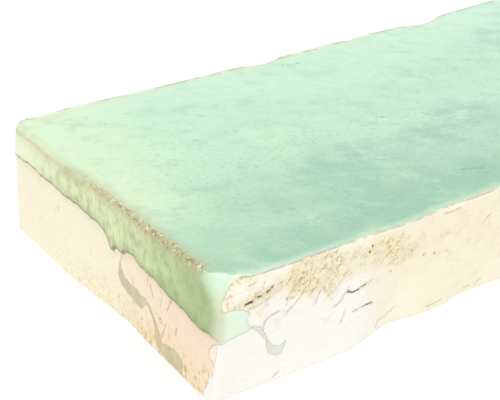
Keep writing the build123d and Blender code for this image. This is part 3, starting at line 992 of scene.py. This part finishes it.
def crumbled(recipe, place, hue, finish):
    """Crumbled clay over a hue: an ochre stain, slanting strokes of torn clay, and edges of flakes."""
    zone = recipe.step(recipe.ragged("crumble", place, 2.4 * MM, 0.9), 0.15, 0.75)
    slant = recipe.stretched(recipe.turned(place, STROKE_SLANT, "Y"), 1.6, 1, 1)
    strokes = recipe.noise(slant, 0.55 * MM, 5, 0.76)
    hue = recipe.tint(hue, finish.ochre, zone, 0.34)
    hue = recipe.tint(hue, finish.ochre, zone, recipe.step(strokes, 0.46, 0.62, 0.85))
    hue = recipe.tint(hue, finish.olive, zone, recipe.step(strokes, 0.53, 0.66, 0.85))
    hue = recipe.tint(hue, finish.cream, zone, recipe.step(strokes, 0.46, 0.3, 0.85))
    terrace = recipe.math("FRACT", recipe.product(flakes(recipe, place), FLAKE_LEVELS))
    broken = recipe.patches(place, 2 * MM, 0.42, 0.58)
    hue = recipe.tint(hue, finish.umber, recipe.step(terrace, 0.2, 0.02), zone, broken, 0.65)
    crumbs = recipe.patches(place, 0.4 * MM, 0.57, 0.67, 0.75, roughness=0.7)
    return recipe.tint(hue, finish.umber, crumbs, zone, broken)


def end_clay(recipe, place, finish):
    """Cream clay of the dipped end: flushed by the near corner, stained low down, with a lost flake."""
    across, height = recipe.axis(place, "Y"), recipe.axis(place, "Z")
    flush = recipe.math("ADD", recipe.step(across, 10 * MM, -23 * MM), recipe.jitter(place, 3 * MM, 0.7))
    hue = recipe.tint(rgba(finish.cream), finish.pink, recipe.step(flush, 0, 1))
    fine = recipe.noise(place, 0.5 * MM, 4, 0.7)
    hue = recipe.tint(hue, finish.chalk, recipe.step(fine, 0.45, 0.25, 0.5))
    low = recipe.product(recipe.step(height, 6 * MM, 0.5 * MM, 0.12), recipe.step(across, 20 * MM, 4 * MM))
    hue = recipe.tint(hue, finish.ochre, recipe.step(recipe.math("ADD", fine, low), 0.53, 0.75, 0.5))
    low = recipe.product(recipe.step(height, 7 * MM, 0.3 * MM, 0.15), recipe.step(across, 12 * MM, -8 * MM))
    dashes = recipe.noise(recipe.stretched(place, 1, 1, 1.7), 0.6 * MM, 3, 0.65)
    dashes = recipe.math("ADD", low, dashes)
    hue = recipe.tint(hue, finish.ochre, recipe.step(dashes, 0.62, 0.76, 0.75))
    hue = recipe.tint(hue, finish.umber, recipe.step(dashes, 0.7, 0.82, 0.5))
    flake = recipe.ragged("flake", place, 0.6 * MM, 0.3 * MM)
    hue = recipe.tint(hue, finish.cream, recipe.step(flake, -0.05 * MM, 0.1 * MM, 0.8))
    outline = recipe.step(recipe.math("ABSOLUTE", flake), 0.16 * MM, 0.04 * MM, 0.28)
    return recipe.tint(hue, finish.umber, outline)


def side_clay(recipe, place, finish):
    """Chalky clay of the hammered sides: warmer away from the dipped end and high up, and crumbled."""
    warm = recipe.step(recipe.axis(place, "X"), -62 * MM, -40 * MM, 0.75)
    warm = recipe.math("ADD", warm, recipe.jitter(place, 7 * MM, 1.0))
    warm = recipe.math("ADD", warm, recipe.step(recipe.axis(place, "Z"), 8 * MM, 12 * MM, 0.35))
    hue = recipe.tint(rgba(finish.chalk), finish.cream, recipe.step(warm, 0.1, 0.8))
    blush = recipe.patches(place, 3 * MM, 0.48, 0.68, 0.5)
    hue = recipe.tint(hue, finish.pink, blush, recipe.step(warm, 0.2, 0.9))
    hue = recipe.tint(hue, finish.pink, recipe.patches(place, 0.5 * MM, 0.52, 0.72, 0.4, 4, 0.7))
    return crumbled(recipe, place, hue, finish)


def corner_clay(recipe, place, finish):
    """Clay of the end and the sides, with a torn edge between and an ochre fringe below the near wrap."""
    height = recipe.axis(place, "Z")
    past_corner = recipe.ragged("corner", place, 1.3 * MM, 2 * MM)
    past_corner = recipe.math("ADD", past_corner, recipe.step(height, 6 * MM, 0.5 * MM, 1.6 * MM))
    past_corner = recipe.math("ADD", past_corner, 0.2 * MM)
    on_end = recipe.step(past_corner, 0.08 * MM, -0.08 * MM)
    hue = recipe.mix(on_end, side_clay(recipe, place, finish), end_clay(recipe, place, finish))
    torn = recipe.step(recipe.math("ABSOLUTE", past_corner), 0.22 * MM, 0.06 * MM)
    hue = recipe.tint(hue, finish.umber, torn, recipe.patches(place, 0.7 * MM, 0.48, 0.6, 0.45))
    fringe = recipe.step(recipe.ragged("glaze", place, 0.9 * MM, 1.2 * MM), -1.6 * MM, 0)
    fringe = recipe.product(fringe, recipe.step(recipe.axis(place, "X"), -69.5 * MM, -72 * MM))
    fringe = recipe.product(fringe, recipe.step(height, 11 * MM, 12.4 * MM), recipe.field("front"))
    hue = recipe.tint(hue, finish.ochre, fringe, 0.4)
    crumbs = recipe.patches(place, 0.45 * MM, 0.5, 0.64, 0.55, roughness=0.7)
    return recipe.tint(hue, finish.umber, fringe, crumbs)


def thin_runs(recipe, place, hue, finish):
    """Runs of thin glaze over a hue, which shows through them in patches, with a darker outline."""
    run = recipe.ragged("run", place, 0.8 * MM, 0.36 * MM)
    run_hue = recipe.tint(rgba(finish.front_run), finish.end_run, recipe.field("end"))
    run_hue = recipe.mix(recipe.patches(place, 1.4 * MM, 0.45, 0.7, 0.35, 2), run_hue, hue)
    run_hue = recipe.tint(run_hue, finish.umber, recipe.step(run, 0.2 * MM, 0.04 * MM, 0.3))
    return recipe.mix(recipe.step(run, -0.06 * MM, 0.1 * MM, 0.9), hue, run_hue)


def clay_cracks(recipe, place, hue, finish):
    """Cracks and specks over a hue: an ochre halo, and a line that noise breaks up where it is darkest."""
    ink = recipe.field("ink")
    aside = recipe.math("ABSOLUTE", recipe.ragged("crack", place, 0.5 * MM, 2.4))
    hue = recipe.tint(hue, finish.ochre, recipe.step(aside, 4.0, 0.5, 0.35), ink)
    open_crack = recipe.step(ink, 0.5, 0.7)
    dots = recipe.patches(place, 0.4 * MM, 0.4, 0.52, detail=2)
    dots = recipe.math("MAXIMUM", dots, recipe.math("SUBTRACT", 0.8, open_crack))
    crack_hue = recipe.tint(rgba(finish.hair), finish.crack, open_crack)
    return recipe.mix(recipe.product(recipe.step(aside, 1.3, 0.35), ink, dots), hue, crack_hue)


def clay(recipe, place, finish):
    """Bare clay with its thin runs and cracks."""
    hue = corner_clay(recipe, place, finish)
    hue = thin_runs(recipe, place, hue, finish)
    return clay_cracks(recipe, place, hue, finish)


def cut_edge(recipe, place, finish):
    """The glaze's thickness, a thin line under the face on hammered sides: its colour, and where it shows."""
    below = recipe.ragged("glaze", place, 1.1 * MM, 0.3 * MM)
    line = recipe.step(below, -0.34 * MM, -0.2 * MM)
    line = recipe.product(line, recipe.step(below, 0.02 * MM, -0.1 * MM, 0.85))
    gaps = recipe.patches(place, 1.6 * MM, 0.36, 0.52, 0.8)
    by_face = recipe.step(recipe.axis(place, "Z"), 14 * MM, 15 * MM)
    off_end = recipe.rest(recipe.field("end"))
    return rgba(finish.cut), recipe.product(line, gaps, by_face, off_end)


def worn_arris(recipe, place, finish):
    """Wear of the dipped arris, sandy to the front, smooth to the back: its colour, and where it shows."""
    across = recipe.axis(place, "Y")
    sandy = recipe.step(across, 15 * MM, 0)
    smooth_part = recipe.rest(sandy)
    off_line = recipe.math("ADD", recipe.field("arris"), recipe.product(smooth_part, 0.45 * MM))
    off_line = recipe.math("ADD", off_line, recipe.jitter(place, 1.1 * MM, 1.1 * MM))
    away = recipe.math("ABSOLUTE", off_line)
    core = recipe.step(recipe.math("ADD", away, recipe.jitter(place, 0.6 * MM, MM)), 1.15 * MM, 0.3 * MM)
    grainy = recipe.product(core, sandy)
    haze = recipe.math("ADD", sandy, 0.5, clamp=True)
    haze = recipe.product(recipe.step(away, 2.3 * MM, 0.2 * MM, 0.55), haze)
    thin = recipe.product(recipe.step(away, 0.9 * MM, 0.1 * MM, 0.5), smooth_part)
    shown = recipe.math("MAXIMUM", recipe.math("MAXIMUM", haze, thin), recipe.product(grainy, 0.8))
    dusty = recipe.product(recipe.patches(place, 2.5 * MM, 0.48, 0.66, 0.4), sandy)
    shown = recipe.math("MAXIMUM", shown, recipe.product(dusty, recipe.step(away, 2.9 * MM, 0.6 * MM)))
    high = recipe.step(recipe.axis(place, "Z"), 12.2 * MM, 13.4 * MM)
    shown = recipe.product(shown, recipe.step(across, -21.3 * MM, -20.3 * MM), high)
    light = recipe.patches(place, 0.5 * MM, 0.51, 0.63, 0.8, roughness=0.7)
    dark = recipe.patches(place, 0.4 * MM, 0.51, 0.62, 0.8, roughness=0.7)
    hue = recipe.tint(rgba(finish.dust), finish.sand, sandy)
    hue = recipe.tint(hue, finish.cream, light, grainy)
    return recipe.tint(hue, finish.grit, dark, grainy), shown


def glaze_colour(recipe, place, finish):
    """Mint on the face, the apron on the end, paler wraps, and a pale band round the near corner that is partly
    a painted highlight.
    """
    height = recipe.axis(place, "Z")
    beside = recipe.math("ADD", recipe.field("front"), recipe.field("end"), clamp=True)
    high = recipe.step(height, 12.5 * MM, 14.5 * MM, 0.3)
    hue = recipe.tint(face_glaze(recipe, place, finish), finish.wrap, beside, recipe.rest(high))
    hue = recipe.mix(recipe.field("apron"), hue, apron_glaze(recipe, place, finish))
    corner = recipe.field("corner")
    # Painted highlight in part: a paler band over the rounded near corner, low down.
    strip = recipe.step(corner, -2.2 * MM, -0.1 * MM, 0.8)
    strip = recipe.product(strip, recipe.step(corner, 1.4 * MM, 0.3 * MM))
    return recipe.tint(hue, finish.strip, strip, recipe.step(height, 15 * MM, 13 * MM))


def surface_relief(recipe, place, gloss):
    """Bump of the surface: grain and flakes where it is bare or worn, and a faint orange peel all over."""
    grain = recipe.product(recipe.noise(place, 0.5 * MM, 4, 0.7), recipe.step(gloss, 1.0, 0.0, 0.14))
    crumble = recipe.product(flakes(recipe, place), recipe.field("crumble"))
    crumble = recipe.product(crumble, recipe.step(gloss, 1.0, 0.0, 0.5))
    orange_peel = recipe.product(recipe.noise(place, 2.2 * MM, 2), 0.03)
    height = recipe.math("ADD", recipe.math("ADD", grain, crumble), orange_peel)
    return recipe.add("ShaderNodeBump", {"Height": height, "Distance": MM, "Strength": 1.0}, "Normal")


def tile_material(finish):
    """Glaze, wear and clay in one surface, each placed by the tile's fields, with edges broken by noise."""
    material = bpy.data.materials.new("glazed_clay")
    material.use_nodes = True
    recipe = Recipe(material.node_tree)
    place = recipe.add("ShaderNodeTexCoord", {}, "Object")
    inside = recipe.ragged("glaze", place, 0.6 * MM, 0.3 * MM)
    low_wrap = recipe.step(recipe.axis(place, "Z"), 14.5 * MM, 13.5 * MM)
    low_wrap = recipe.product(recipe.field("front"), low_wrap)
    inside = recipe.math("ADD", inside, recipe.product(low_wrap, recipe.jitter(place, 1.1 * MM, 0.9 * MM)))
    glazed = recipe.step(inside, -0.06 * MM, 0.06 * MM)
    hue = recipe.mix(glazed, clay(recipe, place, finish), glaze_colour(recipe, place, finish))
    cut_hue, cut = cut_edge(recipe, place, finish)
    hue = recipe.mix(cut, hue, cut_hue)
    worn_hue, worn = worn_arris(recipe, place, finish)
    hue = recipe.mix(worn, hue, worn_hue)
    gloss = recipe.product(glazed, recipe.rest(worn))
    roughness = recipe.math("ADD", recipe.step(gloss, 1.0, 0.0, 0.7), 0.2)
    relief = surface_relief(recipe, place, gloss)
    shader = material.node_tree.nodes["Principled BSDF"]
    for name, value in (("Base Color", hue), ("Roughness", roughness), ("Normal", relief)):
        material.node_tree.links.new(value, shader.inputs[name])
    return material


def fill_mesh(name, points, quads, fields):
    """A mesh from whole arrays, with its fields as point attributes."""
    mesh = bpy.data.meshes.new(name)
    mesh.from_pydata(points, [], quads)
    for key, values in fields.items():
        mesh.attributes.new(key, "FLOAT", "POINT").data.foreach_set("value", values.astype(np.float32))
    mesh.shade_smooth()
    return mesh


class ZELLIGE_OT_tile(Operator):
    """Build the tile as one closed surface and give it its finish"""

    bl_idname = "zellige.tile"
    bl_label = "Tile"

    def execute(self, context):
        shape = context.scene.zellige_shape
        box, quads = tile_lattice(shape)
        box = follow_apron(box, shape)
        points = strike_scoops(warp_slab(round_box(box, shape), shape), shape)
        fields = tile_fields(box, points, shape)
        points = coat_tile(points, outward_normals(points, quads), box, fields, shape)
        mesh = fill_mesh("glazed_tile", points, quads, fields)
        mesh.materials.append(tile_material(context.scene.zellige_finish))
        tile = bpy.data.objects.new("glazed_tile", mesh)
        context.collection.objects.link(tile)
        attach(tile, "root")
        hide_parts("tile")
        return {"FINISHED"}


def floor_material(stage):
    """Matt pale floor that gives out a share of its light itself, which keeps the shadow on it soft."""
    material = bpy.data.materials.new("pale_floor")
    material.use_nodes = True
    shader = material.node_tree.nodes["Principled BSDF"]
    shader.inputs["Base Color"].default_value = rgba([share * (1 - stage.glow) for share in stage.floor])
    shader.inputs["Emission Color"].default_value = rgba(stage.floor)
    shader.inputs["Emission Strength"].default_value = stage.glow
    shader.inputs["Roughness"].default_value = 1.0
    shader.inputs["Specular IOR Level"].default_value = 0.0
    return material


def white_world(stage):
    """White to the camera and in reflections, and an even sky of its own level for everything else."""
    world = bpy.data.worlds.new("studio")
    world.use_nodes = True
    recipe = Recipe(world.node_tree)
    path = world.node_tree.nodes.new("ShaderNodeLightPath")
    seen = recipe.math("ADD", path.outputs["Is Camera Ray"], path.outputs["Is Glossy Ray"])
    seen = recipe.math("ADD", seen, path.outputs["Is Transmission Ray"], clamp=True)
    level = recipe.add("ShaderNodeMapRange", {"Value": seen, "To Min": stage.sky, "To Max": 1.0})
    background = world.node_tree.nodes["Background"]
    background.inputs["Color"].default_value = (1, 1, 1, 1)
    world.node_tree.links.new(level, background.inputs["Strength"])
    return world


def soft_lamp(context, name, level, place, size):
    """A square lamp aimed at the tile, of a power that lights a white card facing it to the given level."""
    lamp = bpy.data.lights.new(name, "AREA")
    lamp.size = size
    lamp.energy = level * math.pi**2 * Vector(place).length_squared
    holder = bpy.data.objects.new(name, lamp)
    holder.location = place
    holder.rotation_euler = Vector(place).to_track_quat("Z", "Y").to_euler()
    context.collection.objects.link(holder)


def photo_camera(context, stage):
    """A camera at the eye, turned, dipped and rolled."""
    camera = bpy.data.cameras.new("camera")
    camera.sensor_fit = "HORIZONTAL"
    camera.sensor_width = 36.0
    camera.lens = stage.lens
    camera.clip_start = 0.01
    holder = bpy.data.objects.new("camera", camera)
    upright = Matrix.Rotation(-stage.turn, 4, "Z") @ Matrix.Rotation(math.pi / 2 - stage.dip, 4, "X")
    holder.matrix_world = Matrix.Translation(stage.eye) @ upright @ Matrix.Rotation(stage.roll, 4, "Z")
    context.collection.objects.link(holder)
    context.scene.camera = holder


class ZELLIGE_OT_stage(Operator):
    """Lay the floor, hang the lamp and set the camera"""

    bl_idname = "zellige.stage"
    bl_label = "Stage"

    def execute(self, context):
        stage = context.scene.zellige_stage
        signs = ((-1, -1), (1, -1), (1, 1), (-1, 1))
        corners = [(x * FLOOR_REACH, y * FLOOR_REACH, -FLOOR_DROP) for x, y in signs]
        mesh = bpy.data.meshes.new("floor")
        mesh.from_pydata(corners, [], [(0, 1, 2, 3)])
        mesh.materials.append(floor_material(stage))
        floor = bpy.data.objects.new("floor", mesh)
        context.collection.objects.link(floor)
        context.scene.world = white_world(stage)
        soft_lamp(context, "key", stage.key, LAMP_PLACE, LAMP_SIZE)
        photo_camera(context, stage)
        context.scene.view_settings.view_transform = "Standard"
        return {"FINISHED"}


class ZELLIGE_PT_panel(Panel):
    """Sizes, colours and the buttons that build the tile and its stage"""

    bl_label = "Zellige tile"
    bl_idname = "ZELLIGE_PT_panel"
    bl_space_type = "VIEW_3D"
    bl_region_type = "UI"
    bl_category = "Tile"

    def draw(self, context):
        for group in (context.scene.zellige_shape, context.scene.zellige_finish, context.scene.zellige_stage):
            box = self.layout.box()
            for name in group.__annotations__:
                box.prop(group, name)
        self.layout.operator(ZELLIGE_OT_tile.bl_idname)
        self.layout.operator(ZELLIGE_OT_stage.bl_idname)


CLASSES = (TileShape, TileFinish, TileStage, ZELLIGE_OT_tile, ZELLIGE_OT_stage, ZELLIGE_PT_panel)


def register():
    """Registers the classes and hangs their settings on the scene."""
    for each in CLASSES:
        bpy.utils.register_class(each)
    bpy.types.Scene.zellige_shape = PointerProperty(type=TileShape)
    bpy.types.Scene.zellige_finish = PointerProperty(type=TileFinish)
    bpy.types.Scene.zellige_stage = PointerProperty(type=TileStage)


def unregister():
    """Takes the settings off the scene and removes the classes."""
    del bpy.types.Scene.zellige_shape, bpy.types.Scene.zellige_finish, bpy.types.Scene.zellige_stage
    for each in reversed(CLASSES):
        bpy.utils.unregister_class(each)


def main():
    """Builds the tile and its stage."""
    register()
    bpy.ops.zellige.tile()
    bpy.ops.zellige.stage()


if __name__ == "__main__":
    main()
